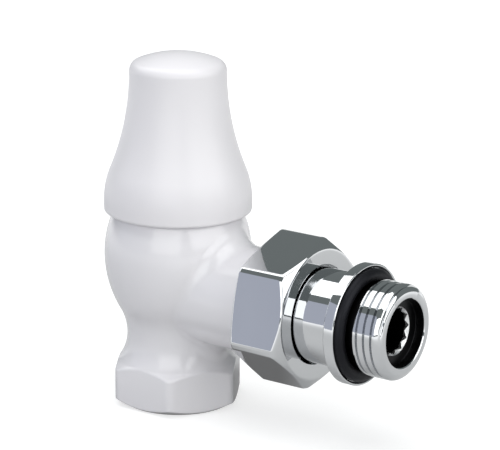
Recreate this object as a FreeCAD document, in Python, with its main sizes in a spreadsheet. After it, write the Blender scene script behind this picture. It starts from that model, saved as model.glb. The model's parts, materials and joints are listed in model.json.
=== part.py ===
import FreeCAD, Part
import math
import os
import Sketcher
from types import SimpleNamespace

# Angle pattern manual radiator valve: white forged body with a hexagon pipe end, chromed union nut
# and tailpiece at the outlet, screwed headwork inside and a bell-shaped handwheel on the spindle.
# Origin at the centre of the inlet mouth, +Z up the spindle, +X out along the outlet, millimetres.

SIZES = {
    # Forged body, outside
    "inlet_hex_across": 26.7,
    "inlet_hex_round": 2.2,
    "base_radius": 12.4,
    "base_chamfer": 1.9,
    "hex_shoulder": 8.1,
    "foot_radius": 13.3,
    "foot_height": 9.8,
    "waist_radius": 11.45,
    "waist_height": 15.7,
    "belly_radius": 16.46,
    "belly_height": 34.5,
    "waist_share": 0.33,
    "shoulder_step": 3.26,
    "rim_height": 46.5,
    "outlet_height": 27.0,
    "branch_radius": 11.8,
    "branch_fillet": 3.0,
    "union_thread_radius": 13.2,
    "union_thread_length": 7.9,
    "union_thread_chamfer": 0.9,
    "union_face": 34.5,
    # Forged body, inside
    "inlet_bore": 10.48,
    "inlet_depth": 11.0,
    "inlet_cone": 4.0,
    "waterway_radius": 6.0,
    "chamber_radius": 10.0,
    "chamber_widening": 3.6,
    "chamber_wide_radius": 12.2,
    "seat_height": 21.7,
    "seat_rise": 1.3,
    "seat_width": 1.1,
    "port_radius": 11.0,
    "port_depth": 8.5,
    "outlet_bore": 6.3,
    "socket_radius": 9.6,
    "socket_depth": 3.0,
    # Clearances
    "screwed_clearance": 0.05,
    "running_clearance": 0.05,
    "seating_clearance": 0.02,
    "end_gap": 0.3,
    # Headwork
    "lift": 4.5,
    "bonnet_nose_radius": 9.0,
    "bonnet_nose": 1.1,
    "bonnet_flange_radius": 12.6,
    "bonnet_flange": 1.6,
    "bonnet_hex_across": 22.0,
    "bonnet_hex": 4.6,
    "bonnet_hex_chamfer": 0.8,
    "bonnet_tower_radius": 8.6,
    "bonnet_ring_depth": 1.5,
    "bonnet_ring_below": 2.4,
    "stem_thread_radius": 5.0,
    "stem_web": 1.2,
    "gland_floor": 2.1,
    "gland_bore": 6.2,
    "gland_washer": 1.2,
    "gland_bush": 2.2,
    "gland_nut_radius": 7.0,
    "gland_nut_thread": 3.2,
    "gland_nut_across": 13.0,
    "gland_nut_head": 2.6,
    # Spindle
    "spindle_radius": 4.0,
    "button_radius": 4.2,
    "button_thickness": 2.2,
    "spindle_neck_radius": 3.0,
    "spindle_neck": 2.8,
    "stem_taper": 0.8,
    "spline_radius": 3.9,
    "spline_depth": 0.45,
    "spline_half_width": 0.36,
    "spline_teeth": 18,
    "spindle_chamfer": 0.6,
    # Plug and its seal
    "plug_radius": 9.2,
    "plug_cup": 1.3,
    "plug_plate": 4.2,
    "plug_chamfer": 0.8,
    "plug_boss_radius": 6.6,
    "pocket_floor": 0.7,
    "clip_thickness": 0.9,
    "clip_radius": 5.5,
    "clip_cover": 0.8,
    "clip_angle": 300,
    "seal_radius": 8.2,
    "seal_thickness": 2.5,
    "seal_washer_radius": 4.6,
    "seal_washer": 1.0,
    "screw_radius": 2.0,
    "screw_length": 5.6,
    "screw_head_radius": 3.5,
    "screw_head": 2.0,
    "screw_slot_width": 0.9,
    "screw_slot_depth": 1.0,
    # Handwheel
    "skirt_overlap": 2.3,
    "skirt_gap": 0.42,
    "skirt_straight": 2.6,
    "skirt_lip": 0.7,
    "skirt_share": 0.24,
    "wheel_wall": 1.7,
    "wheel_height": 35.7,
    "crown_radius": 10.8,
    "crown_round": 4.6,
    "crown_dome": 34.0,
    "crown_thickness": 3.7,
    "crown_cap": 5.7,
    "hub_radius": 6.2,
    "hub_gap": 0.7,
    "hub_end_gap": 0.4,
    "rib_start": 3.5,
    "rib_thickness": 1.2,
    "rib_count": 6,
    "spring_wire": 1.2,
    "spring_height": 1.6,
    "spring_angle": 320,
    # Union nut
    "nut_across": 29.7,
    "nut_length": 13.0,
    "nut_face": 38.8,
    "nut_chamfer_radius": 14.5,
    "nut_chamfer": 1.65,
    "nut_back_chamfer": 0.5,
    "nut_twist": 10.7,
    "nut_corner_round": 1.7,
    "nut_thread_chamfer": 0.7,
    "nut_front_wall": 2.0,
    # Tailpiece
    "spigot_length": 2.7,
    "spigot_ring_depth": 1.5,
    "spigot_ring_offset": 0.5,
    "ring_side_room": 0.2,
    "tail_neck_radius": 10.5,
    "neck_length": 13.9,
    "neck_gap": 0.5,
    "snap_ring_thickness": 1.4,
    "snap_ring_gap": 0.1,
    "snap_ring_reach": 2.0,
    "snap_ring_depth": 1.1,
    "snap_ring_angle": 335,
    "flange_web": 0.95,
    "flange_rim": 0.85,
    "flange_chamfer": 0.25,
    "ring_recess": 1.55,
    "tail_ring_section": 3.0,
    "tail_relief_radius": 9.35,
    "tail_relief_length": 3.2,
    "tail_thread_radius": 10.4775,
    "tail_thread_length": 6.7,
    "tail_thread_chamfer": 0.6,
    "tail_end_radius": 9.86,
    "tail_bore": 6.0,
    "mouth_radius": 7.45,
    "mouth_chamfer": 0.27,
    "mouth_depth": 2.3,
    "key_across": 9.2,
    "key_depth": 2.5,
    "key_length": 4.0,
    "key_lead": 1.0,
    "key_lead_room": 0.1,
}

doc = FreeCAD.newDocument("radiator_valve")
sheet = doc.addObject("Spreadsheet::Sheet", "Sizes")
for row, (name, value) in enumerate(SIZES.items(), start=1):
    sheet.set(f"A{row}", name)
    sheet.set(f"B{row}", str(value))
    sheet.setAlias(f"B{row}", name)
doc.recompute()


class Size:
    """A length together with the sheet formula that gives it."""

    def __init__(self, value, formula):
        self.value = float(value)
        self.formula = formula

    def combine(self, other, sign, value, swap=False):
        text = other.formula if isinstance(other, Size) else repr(float(other))
        first, second = (text, self.formula) if swap else (self.formula, text)
        return Size(value, f"({first} {sign} {second})")

    def __add__(self, other):
        return self.combine(other, "+", self.value + number(other))

    def __radd__(self, other):
        return self.combine(other, "+", number(other) + self.value, swap=True)

    def __sub__(self, other):
        return self.combine(other, "-", self.value - number(other))

    def __rsub__(self, other):
        return self.combine(other, "-", number(other) - self.value, swap=True)

    def __mul__(self, other):
        return self.combine(other, "*", self.value * number(other))

    def __rmul__(self, other):
        return self.combine(other, "*", number(other) * self.value, swap=True)

    def __truediv__(self, other):
        return self.combine(other, "/", self.value / number(other))


def number(size):
    return size.value if isinstance(size, Size) else float(size)


def root(size):
    return Size(math.sqrt(size.value), f"sqrt({size.formula})")


S = SimpleNamespace(**{name: Size(value, f"Sizes.{name}") for name, value in SIZES.items()})
COUNTER, CLOCKWISE = 1, -1
HEX_TURN = 60.0
HALF_FLAT = math.cos(math.radians(30.0))


def bind(item, prop, size):
    """Ties a property to the formula of a size that comes from the sheet."""
    if isinstance(size, Size):
        item.setExpression(prop, size.formula)


def plane_of(body, role):
    return next(part for part in body.Origin.OriginFeatures if part.Role == role)


def new_body(label):
    body = doc.addObject("PartDesign::Body", label)
    body.Label = label
    return body


def outlet_body(label):
    """A body whose own Z axis lies along the outlet's centre line."""
    body = new_body(label)
    turn = FreeCAD.Rotation(FreeCAD.Vector(0, 1, 0), 90.0)
    body.Placement = FreeCAD.Placement(FreeCAD.Vector(0, 0, number(S.outlet_height)), turn)
    bind(body, "Placement.Base.z", S.outlet_height)
    return body


def new_sketch(body, name, role, offset=None):
    sketch = body.newObject("Sketcher::SketchObject", name)
    sketch.AttachmentSupport = [(plane_of(body, role), "")]
    sketch.MapMode = "FlatFace"
    if offset is not None:
        sketch.AttachmentOffset.Base.z = number(offset)
        bind(sketch, "AttachmentOffset.Base.z", offset)
    return sketch


def constrain(sketch, constraint, size):
    index = sketch.addConstraint(constraint)
    bind(sketch, f"Constraints[{index}]", size)


def tie_point(sketch, edge, end, x, y):
    """Holds one end of an edge at its coordinates in the sketch."""
    for kind, axis, size in (("DistanceX", -2, x), ("DistanceY", -1, y)):
        value = number(size)
        if abs(value) < 1e-9:
            sketch.addConstraint(Sketcher.Constraint("PointOnObject", edge, end, axis))
        elif value > 0:
            constrain(sketch, Sketcher.Constraint(kind, -1, 1, edge, end, value), size)
        else:
            constrain(sketch, Sketcher.Constraint(kind, edge, end, -1, 1, -value), 0 - size)


def arc_between(start, end, radius, turn):
    """The shorter arc from start to end, and which of its own ends comes first on the way."""
    chord = end - start
    half = chord.Length / 2
    rise = math.sqrt(max(radius ** 2 - half ** 2, 0.0))
    left = FreeCAD.Vector(-chord.y, chord.x, 0).normalize()
    centre = (start + end) / 2 + left * (rise * turn)
    circle = Part.Circle(centre, FreeCAD.Vector(0, 0, 1), radius)
    first, last = (start, end) if turn == COUNTER else (end, start)
    angles = [math.atan2(p.y - centre.y, p.x - centre.x) for p in (first, last)]
    if angles[1] < angles[0]:
        angles[1] += 2 * math.pi
    return Part.ArcOfCircle(circle, *angles), (1, 2) if turn == COUNTER else (2, 1)


def draw_outline(sketch, corners):
    """Closes a loop through the corners; a corner with a radius and a turn starts an arc."""
    first_edge = sketch.GeometryCount
    points = [FreeCAD.Vector(number(c[0]), number(c[1]), 0) for c in corners]
    ends = []
    for i, corner in enumerate(corners):
        start, end = points[i], points[(i + 1) % len(points)]
        if len(corner) == 2:
            sketch.addGeometry(Part.LineSegment(start, end), False)
            ends.append((1, 2))
        else:
            arc, order = arc_between(start, end, number(corner[2]), corner[3])
            sketch.addGeometry(arc, False)
            ends.append(order)
    for i in range(len(corners)):
        after = (i + 1) % len(corners)
        joint = (first_edge + i, ends[i][1], first_edge + after, ends[after][0])
        sketch.addConstraint(Sketcher.Constraint("Coincident", *joint))
    for i, corner in enumerate(corners):
        tie_point(sketch, first_edge + i, ends[i][0], corner[0], corner[1])
        if len(corner) > 2:
            radius = Sketcher.Constraint("Radius", first_edge + i, number(corner[2]))
            constrain(sketch, radius, corner[2])


def turned(body, name, corners, kind="PartDesign::Revolution", sweep=360):
    """Turns an outline of (radius, height) corners about the body's own Z axis."""
    sketch = new_sketch(body, name + "_outline", "XZ_Plane")
    draw_outline(sketch, corners)
    feature = body.newObject(kind, name)
    feature.Profile = sketch
    feature.ReferenceAxis = (sketch, ["V_Axis"])
    feature.Angle = number(sweep)
    bind(feature, "Angle", sweep)
    doc.recompute()
    return feature


def hexagon(across, twist=0.0):
    """Corners of a hexagon of that width across its flats, the first at the twist from X."""
    radius = across / (2 * HALF_FLAT)
    turns = [math.radians(twist + HEX_TURN * k) for k in range(6)]
    return [(radius * math.cos(a), radius * math.sin(a)) for a in turns]


def rounded_hexagon(across, twist, rounding):
    """The same hexagon with an arc at each corner."""
    sharp = hexagon(across, twist)
    share = rounding * math.tan(math.radians(HEX_TURN / 2)) / (across / (2 * HALF_FLAT))
    outline = []
    for i, (x, y) in enumerate(sharp):
        (x0, y0), (x1, y1) = sharp[i - 1], sharp[(i + 1) % 6]
        outline.append((x + (x0 - x) * share, y + (y0 - y) * share, rounding, COUNTER))
        outline.append((x + (x1 - x) * share, y + (y1 - y) * share))
    return outline


def cut(body, name, sketch, depth, reverse):
    """A pocket that has to take material away."""
    before = body.Shape.Volume
    pocket = body.newObject("PartDesign::Pocket", name)
    pocket.Profile = sketch
    pocket.Length = number(depth)
    bind(pocket, "Length", depth)
    pocket.Reversed = reverse
    doc.recompute()
    if body.Shape.Volume > before - 1e-3:
        raise RuntimeError(f"{name} cuts nothing")
    return pocket


def cut_flats(body, name, outline, start, height, blank_radius):
    """Cuts a turned blank to an outline between two heights, keeping its turned ends."""
    sketch = new_sketch(body, name + "_outline", "XY_Plane", start)
    draw_outline(sketch, outline)
    ring = Part.Circle(FreeCAD.Vector(), FreeCAD.Vector(0, 0, 1), number(blank_radius))
    edge = sketch.addGeometry(ring, False)
    sketch.addConstraint(Sketcher.Constraint("Coincident", edge, 3, -1, 1))
    constrain(sketch, Sketcher.Constraint("Radius", edge, number(blank_radius)), blank_radius)
    return cut(body, name, sketch, height, reverse=True)


def polar_copies(body, name, feature, count):
    """Repeats a feature round the body's own Z axis."""
    pattern = body.newObject("PartDesign::PolarPattern", name)
    pattern.Originals = [feature]
    pattern.Axis = (plane_of(body, "Z_Axis"), [""])
    pattern.Angle = 360
    pattern.Occurrences = int(number(count))
    bind(pattern, "Occurrences", count)
    body.Tip = pattern
    doc.recompute()
    return pattern


def ring_seal(label, mean_radius, section, height, on_outlet=False):
    """An O-ring round the spindle axis, or round the outlet's centre line."""
    seal = doc.addObject("Part::Torus", label)
    seal.Label = label
    seal.Radius1 = number(mean_radius)
    seal.Radius2 = number(section) / 2
    bind(seal, "Radius1", mean_radius)
    bind(seal, "Radius2", section / 2)
    axis = FreeCAD.Rotation(FreeCAD.Vector(0, 1, 0), 90.0 if on_outlet else 0.0)
    x, z = (height, S.outlet_height) if on_outlet else (0, height)
    seal.Placement = FreeCAD.Placement(FreeCAD.Vector(number(x), 0, number(z)), axis)
    bind(seal, "Placement.Base.x", x)
    bind(seal, "Placement.Base.z", z)
    return seal


def bend_radius(sideways, along):
    """Radius of the arc that leaves straight and reaches a point off to the side."""
    return (sideways * sideways + along * along) / (2 * sideways)


def s_curve(low, high, share, turn):
    """Two arcs, upright at both ends, from low to high; share is the first arc's part."""
    across = high[0] - low[0] if number(high[0]) > number(low[0]) else low[0] - high[0]
    along = high[1] - low[1]
    both = bend_radius(across, along)
    middle = (low[0] + (high[0] - low[0]) * share, low[1] + along * share)
    return [(low[0], low[1], both * share, turn), (*middle, both * (1 - share), -turn)]


def s_curve_down(high, low, share):
    """The same two arcs, drawn from the top down."""
    lower, upper = s_curve(low, high, share, COUNTER)
    return [(*high, upper[2], COUNTER), (upper[0], upper[1], lower[2], CLOCKWISE)]


def tube(inner, outer, base, top):
    return [(inner, base), (outer, base), (outer, top), (inner, top)]


def serration(tip, root_radius):
    """A narrow triangle from its tip out to a radius, with the flanks of the spindle's teeth."""
    half = (root_radius - tip) * (S.spline_half_width / S.spline_depth)
    return [(tip, 0), (root_radius, 0 - half), (root_radius, half)]


def pad(body, name, sketch, length, both_sides=False):
    feature = body.newObject("PartDesign::Pad", name)
    feature.Profile = sketch
    feature.Length = number(length)
    bind(feature, "Length", length)
    if both_sides:
        feature.SideType = "Symmetric"
    doc.recompute()
    return feature


def spin(body, name, sketch, kind):
    """Turns a sketch about the outlet's centre line, drawn in it as a construction line."""
    start = FreeCAD.Vector(0, number(S.outlet_height), 0)
    end = FreeCAD.Vector(number(S.union_face), number(S.outlet_height), 0)
    line = sketch.addGeometry(Part.LineSegment(start, end), True)
    tie_point(sketch, line, 1, 0, S.outlet_height)
    tie_point(sketch, line, 2, S.union_face, S.outlet_height)
    before = body.Shape.Volume
    feature = body.newObject(kind, name)
    feature.Profile = sketch
    feature.ReferenceAxis = (sketch, ["Axis0"])
    feature.Angle = 360
    doc.recompute()
    if abs(body.Shape.Volume - before) < 1e-3:
        raise RuntimeError(f"{name} changes nothing")
    return feature


def round_edges(body, name, names, radius):
    base = body.Tip
    fillet = body.newObject("PartDesign::Fillet", name)
    fillet.Base = (base, names)
    fillet.Radius = number(radius)
    bind(fillet, "Radius", radius)
    doc.recompute()
    return fillet


def blend_branch(body):
    """Rounds the line where the outlet branch leaves the belly."""
    shape = body.Shape
    radius = number(S.branch_radius)
    names = []
    for face in shape.Faces:
        surface = face.Surface
        if isinstance(surface, Part.Cylinder) and abs(surface.Radius - radius) < 1e-6:
            if abs(surface.Axis.x) > 0.999:
                names += [find_edge(shape, e) for e in face.Edges if not is_plain(e)]
    round_edges(body, "branch_blend", sorted(set(names)), S.branch_fillet)


def find_edge(shape, edge):
    return next(f"Edge{i}" for i, other in enumerate(shape.Edges, start=1) if other.isSame(edge))


def is_plain(edge):
    return isinstance(edge.Curve, (Part.Line, Part.Circle))


def derived_heights():
    """Heights and places that follow from the driving sizes, worked up from seat to crown."""
    h = SimpleNamespace()
    h.chamber_floor = S.seat_height - S.seat_rise
    h.port_floor = S.rim_height - S.port_depth
    h.rim_radius = S.belly_radius - S.shoulder_step
    h.shoulder_bend = bend_radius(S.shoulder_step, S.rim_height - S.belly_height)
    # Seal, plug and swivel
    h.seal_top = S.seat_height + S.seal_thickness
    h.plug_base = h.seal_top - S.plug_cup
    h.plate_top = h.plug_base + S.plug_plate
    h.pocket_base = h.plate_top + S.pocket_floor
    h.button_base = h.pocket_base + S.running_clearance
    h.button_top = h.button_base + S.button_thickness
    h.clip_base = h.button_top + S.running_clearance
    h.clip_top = h.clip_base + S.clip_thickness
    h.plug_top = h.clip_top + S.clip_cover
    h.neck_top = h.button_top + S.spindle_neck
    h.screw_head_top = S.seat_height - S.seal_washer
    h.screw_tip = h.screw_head_top + S.screw_length
    # Bonnet and gland
    h.nose_base = h.port_floor + S.end_gap - S.bonnet_nose
    h.flange_top = S.rim_height + S.bonnet_flange
    h.bonnet_hex_top = h.flange_top + S.bonnet_hex
    h.gland_floor = S.rim_height + S.gland_floor
    h.stem_top = h.gland_floor - S.stem_web - S.lift - S.end_gap
    h.gland_ring = S.gland_bore - S.spindle_radius - 2 * S.running_clearance
    ring_room = h.gland_ring + 2 * S.seating_clearance
    h.gland_bush_base = h.gland_floor + S.gland_washer + ring_room
    h.gland_nut_base = h.gland_bush_base + S.gland_bush + ring_room
    h.bonnet_top = h.gland_nut_base + S.gland_nut_thread
    h.gland_nut_top = h.bonnet_top + S.gland_nut_head
    # Handwheel: its skirt clears the body's shoulder at the height where it ends
    h.skirt_base = S.rim_height - S.skirt_overlap
    above = h.skirt_base - S.belly_height
    shoulder = root(h.shoulder_bend * h.shoulder_bend - above * above)
    h.skirt_inner = S.belly_radius - h.shoulder_bend + shoulder + S.skirt_gap
    h.skirt_radius = h.skirt_inner + S.wheel_wall
    h.wheel_top = h.skirt_base + S.wheel_height
    # The crown's rounding runs smoothly into its shallow dome
    dome_centre = h.wheel_top - S.crown_dome
    h.crown_middle = S.crown_radius - S.crown_round
    dome_reach = S.crown_dome - S.crown_round
    dome_rise = root(dome_reach * dome_reach - h.crown_middle * h.crown_middle)
    h.crown_centre = dome_centre + dome_rise
    h.dome_radius = h.crown_middle * S.crown_dome / dome_reach
    h.dome_edge = dome_centre + dome_rise * S.crown_dome / dome_reach
    h.hub_base = h.gland_nut_top + S.hub_gap
    h.spindle_top = h.wheel_top - S.crown_cap - S.hub_end_gap
    # Union
    h.nut_back = S.nut_face - S.nut_length
    h.nut_shoulder = S.nut_face - S.nut_front_wall
    return h


H = derived_heights()


def build_valve_body():
    """The forging: hexagon pipe end, waist, round belly, outlet branch and top rim."""
    body = new_body("valve_body")
    corner = S.inlet_hex_across / (2 * HALF_FLAT) + S.end_gap
    waist = (S.waist_radius, S.waist_height)
    belly = (S.belly_radius, S.belly_height)
    foot_bend = bend_radius(S.foot_radius - S.waist_radius, S.waist_height - S.foot_height)
    turned(body, "forging", [
        (0, 0),
        (S.base_radius, 0),
        (corner, S.base_chamfer),
        (corner, S.hex_shoulder),
        (S.foot_radius, S.foot_height, foot_bend, CLOCKWISE),
        *s_curve(waist, belly, S.waist_share, CLOCKWISE),
        (*belly, H.shoulder_bend, COUNTER),
        (H.rim_radius, S.rim_height),
        (0, S.rim_height),
    ])
    flats = rounded_hexagon(S.inlet_hex_across, 0.0, S.inlet_hex_round)
    cut_flats(body, "pipe_hexagon", flats, 0, S.waist_height, corner + S.end_gap)

    branch = new_sketch(body, "branch_outline", "XZ_Plane")
    axis_z = S.outlet_height
    thread_start = S.union_face - S.union_thread_length
    step = S.union_thread_radius - S.branch_radius
    draw_outline(branch, [
        (0, axis_z),
        (S.union_face, axis_z),
        (S.union_face, axis_z + S.union_thread_radius - S.union_thread_chamfer),
        (S.union_face - S.union_thread_chamfer, axis_z + S.union_thread_radius),
        (thread_start + step, axis_z + S.union_thread_radius),
        (thread_start, axis_z + S.branch_radius),
        (0, axis_z + S.branch_radius),
    ])
    spin(body, "outlet_branch", branch, "PartDesign::Revolution")
    blend_branch(body)

    turned(body, "pipe_way", [
        (0, 0),
        (S.inlet_bore, 0),
        (S.inlet_bore, S.inlet_depth),
        (S.waterway_radius, S.inlet_depth + S.inlet_cone),
        (S.waterway_radius, S.seat_height),
        (S.waterway_radius + S.seat_width, S.seat_height),
        (S.waterway_radius + S.seat_width, H.chamber_floor),
        (S.chamber_radius, H.chamber_floor),
        (S.chamber_wide_radius, H.chamber_floor + S.chamber_widening),
        (S.chamber_wide_radius, H.port_floor - (S.chamber_wide_radius - S.port_radius)),
        (S.port_radius, H.port_floor),
        (S.port_radius, S.rim_height),
        (0, S.rim_height),
    ], kind="PartDesign::Groove")

    outlet = new_sketch(body, "outlet_way_outline", "XZ_Plane")
    draw_outline(outlet, [
        (S.chamber_radius, axis_z),
        (S.union_face, axis_z),
        (S.union_face, axis_z + S.socket_radius),
        (S.union_face - S.socket_depth, axis_z + S.socket_radius),
        (S.union_face - S.socket_depth, axis_z + S.outlet_bore),
        (S.chamber_radius, axis_z + S.outlet_bore),
    ])
    spin(body, "outlet_way", outlet, "PartDesign::Groove")
    return body


def build_bonnet():
    """Screwed headwork housing: nose, port thread, flange, hexagon and gland tower."""
    body = new_body("bonnet")
    thread = S.port_radius - S.screwed_clearance
    ring_root = thread - S.bonnet_ring_depth
    ring_half = S.bonnet_ring_depth / 2 + S.ring_side_room
    ring_mid = S.rim_height - S.bonnet_ring_below
    blank = S.bonnet_hex_across / (2 * HALF_FLAT) + S.end_gap
    shaft_hole = S.spindle_radius + S.running_clearance
    turned(body, "bonnet_turning", [
        (S.stem_thread_radius, H.nose_base),
        (S.bonnet_nose_radius, H.nose_base),
        (S.bonnet_nose_radius, H.port_floor + S.end_gap),
        (thread, H.port_floor + S.end_gap),
        (thread, ring_mid - ring_half),
        (ring_root, ring_mid - ring_half),
        (ring_root, ring_mid + ring_half),
        (thread, ring_mid + ring_half),
        (thread, S.rim_height),
        (S.bonnet_flange_radius, S.rim_height),
        (S.bonnet_flange_radius, H.flange_top),
        (blank, H.flange_top),
        (blank, H.bonnet_hex_top - S.bonnet_hex_chamfer),
        (S.bonnet_hex_across / 2 - S.bonnet_hex_chamfer, H.bonnet_hex_top),
        (S.bonnet_tower_radius, H.bonnet_hex_top),
        (S.bonnet_tower_radius, H.bonnet_top),
        (S.gland_nut_radius, H.bonnet_top),
        (S.gland_nut_radius, H.gland_nut_base),
        (S.gland_bore, H.gland_nut_base),
        (S.gland_bore, H.gland_floor),
        (shaft_hole, H.gland_floor),
        (shaft_hole, H.gland_floor - S.stem_web),
        (S.stem_thread_radius, H.gland_floor - S.stem_web),
    ])
    cut_flats(body, "bonnet_hexagon", hexagon(S.bonnet_hex_across), H.flange_top, S.bonnet_hex,
              blank + S.end_gap)
    mean = ring_root + S.bonnet_ring_depth / 2
    return [body, ring_seal("bonnet_o_ring", mean, S.bonnet_ring_depth, ring_mid)]


def build_gland():
    """Washer, two O-rings with a bush between them, and the nut that holds them in the tower."""
    inner = S.spindle_radius + S.running_clearance
    outer = S.gland_bore - S.screwed_clearance
    pieces = []
    for label, base, height in (
        ("gland_washer", H.gland_floor, S.gland_washer),
        ("gland_bush", H.gland_bush_base, S.gland_bush),
    ):
        body = new_body(label)
        turned(body, label + "_turning", tube(inner, outer, base, base + height))
        pieces.append(body)
    mean = (S.spindle_radius + S.gland_bore) / 2
    half = S.seating_clearance + H.gland_ring / 2
    for label, base in (
        ("spindle_o_ring_lower", H.gland_floor + S.gland_washer),
        ("spindle_o_ring_upper", H.gland_bush_base + S.gland_bush),
    ):
        pieces.append(ring_seal(label, mean, H.gland_ring, base + half))

    nut = new_body("gland_nut")
    blank = S.gland_nut_across / (2 * HALF_FLAT) + S.end_gap
    turned(nut, "gland_nut_turning", [
        (inner, H.gland_nut_base),
        (S.gland_nut_radius - S.screwed_clearance, H.gland_nut_base),
        (S.gland_nut_radius - S.screwed_clearance, H.bonnet_top),
        (blank, H.bonnet_top),
        (blank, H.gland_nut_top),
        (inner, H.gland_nut_top),
    ])
    cut_flats(nut, "gland_nut_hexagon", hexagon(S.gland_nut_across), H.bonnet_top, S.gland_nut_head,
              blank + S.end_gap)
    pieces.append(nut)
    return pieces


def build_spindle():
    """Rising spindle: swivel button, stem thread, shaft and serrated end for the handwheel."""
    body = new_body("spindle")
    thread = S.stem_thread_radius - S.running_clearance
    turned(body, "spindle_turning", [
        (0, H.button_base),
        (S.button_radius, H.button_base),
        (S.button_radius, H.button_top),
        (S.spindle_neck_radius, H.button_top),
        (S.spindle_neck_radius, H.neck_top),
        (thread - S.stem_taper, H.neck_top),
        (thread, H.neck_top + S.stem_taper),
        (thread, H.stem_top - S.stem_taper),
        (S.spindle_radius, H.stem_top),
        (S.spindle_radius, H.hub_base),
        (S.spline_radius, H.hub_base),
        (S.spline_radius, H.spindle_top - S.spindle_chamfer),
        (S.spline_radius - S.spindle_chamfer, H.spindle_top),
        (0, H.spindle_top),
    ])
    notch = new_sketch(body, "spline_notch", "XY_Plane", H.hub_base)
    draw_outline(notch, serration(S.spline_radius - S.spline_depth, S.spline_radius + S.end_gap))
    groove = cut(body, "spline_groove", notch, H.spindle_top - H.hub_base, reverse=True)
    polar_copies(body, "spline", groove, S.spline_teeth)
    return [body]


def build_plug():
    """Plug that swivels on the spindle's button, its clip, and the seal screwed under it."""
    plug = new_body("plug")
    hole = S.screw_radius + S.seating_clearance
    cup = S.seal_radius + S.seating_clearance
    pocket = S.button_radius + S.running_clearance
    groove = S.clip_radius + S.seating_clearance
    turned(plug, "plug_turning", [
        (hole, H.seal_top),
        (cup, H.seal_top),
        (cup, H.plug_base),
        (S.plug_radius, H.plug_base),
        (S.plug_radius, H.plate_top - S.plug_chamfer),
        (S.plug_radius - S.plug_chamfer, H.plate_top),
        (S.plug_boss_radius, H.plate_top),
        (S.plug_boss_radius, H.plug_top),
        (pocket, H.plug_top),
        (pocket, H.clip_top + S.seating_clearance),
        (groove, H.clip_top + S.seating_clearance),
        (groove, H.clip_base - S.seating_clearance),
        (pocket, H.clip_base - S.seating_clearance),
        (pocket, H.pocket_base),
        (0, H.pocket_base),
        (0, H.screw_tip + S.end_gap),
        (hole, H.screw_tip + S.end_gap),
    ])
    clip = new_body("plug_clip")
    inner = S.spindle_neck_radius + S.running_clearance
    turned(clip, "plug_clip_turning", tube(inner, S.clip_radius, H.clip_base, H.clip_top),
           sweep=S.clip_angle)
    seal = new_body("seal_disc")
    turned(seal, "seal_turning", tube(hole, S.seal_radius, S.seat_height, H.seal_top))
    washer = new_body("seal_washer")
    turned(washer, "seal_washer_turning",
           tube(hole, S.seal_washer_radius, H.screw_head_top, S.seat_height))
    screw = new_body("seal_screw")
    turned(screw, "screw_turning", [
        (0, H.screw_head_top - S.screw_head),
        (S.screw_head_radius, H.screw_head_top - S.screw_head),
        (S.screw_head_radius, H.screw_head_top),
        (S.screw_radius, H.screw_head_top),
        (S.screw_radius, H.screw_tip),
        (0, H.screw_tip),
    ])
    slot = new_sketch(screw, "slot_outline", "XY_Plane", H.screw_head_top - S.screw_head)
    reach = S.screw_head_radius + S.end_gap
    half = S.screw_slot_width / 2
    draw_outline(slot, [(0 - reach, 0 - half), (reach, 0 - half), (reach, half), (0 - reach, half)])
    cut(screw, "driver_slot", slot, S.screw_slot_depth, reverse=True)
    return [plug, clip, seal, washer, screw]


def build_handwheel():
    """Bell-shaped handwheel with its ribbed hub, and the spring ring round the hub."""
    wheel = new_body("handwheel")
    skirt_top = H.skirt_base + S.skirt_straight
    ceiling = H.wheel_top - S.crown_thickness
    hub_bore = S.spline_radius + S.seating_clearance
    outside = s_curve((H.skirt_radius, skirt_top), (S.crown_radius, H.crown_centre),
                      S.skirt_share, COUNTER)
    inside_low = (H.skirt_inner, skirt_top)
    inside_high = (S.crown_radius - S.wheel_wall, ceiling)
    turned(wheel, "bell", [
        (H.skirt_inner, H.skirt_base),
        (H.skirt_radius - S.skirt_lip, H.skirt_base, S.skirt_lip, COUNTER),
        (H.skirt_radius, H.skirt_base + S.skirt_lip),
        *outside,
        (S.crown_radius, H.crown_centre, S.crown_round, COUNTER),
        (H.dome_radius, H.dome_edge, S.crown_dome, COUNTER),
        (0, H.wheel_top),
        (0, H.wheel_top - S.crown_cap),
        (hub_bore, H.wheel_top - S.crown_cap),
        (hub_bore, H.hub_base),
        (S.hub_radius, H.hub_base),
        (S.hub_radius, ceiling),
        *s_curve_down(inside_high, inside_low, S.skirt_share),
        inside_low,
    ])
    ridge = new_sketch(wheel, "ridge_outline", "XY_Plane", H.hub_base)
    draw_outline(ridge, serration(S.spline_radius - S.spline_depth + S.running_clearance,
                                  (hub_bore + S.hub_radius) / 2))
    tooth = pad(wheel, "hub_ridge", ridge, H.wheel_top - S.crown_cap - H.hub_base)
    polar_copies(wheel, "hub_ridges", tooth, S.spline_teeth)
    rib = new_sketch(wheel, "rib_outline", "XZ_Plane")
    rib_base = H.hub_base + S.rib_start
    rib_inner = (hub_bore + S.hub_radius) / 2
    rib_outer = S.crown_radius - S.wheel_wall / 4
    draw_outline(rib, [
        (rib_inner, rib_base),
        (rib_outer, rib_base),
        (rib_outer, ceiling),
        (rib_inner, ceiling),
    ])
    first = pad(wheel, "rib", rib, S.rib_thickness, both_sides=True)
    polar_copies(wheel, "ribs", first, S.rib_count)
    ring = ring_seal("hub_spring_ring", S.hub_radius + S.spring_wire / 2 + S.seating_clearance,
                     S.spring_wire, H.hub_base + S.spring_height)
    ring.Angle3 = number(S.spring_angle)
    bind(ring, "Angle3", S.spring_angle)
    return [wheel, ring]


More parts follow.
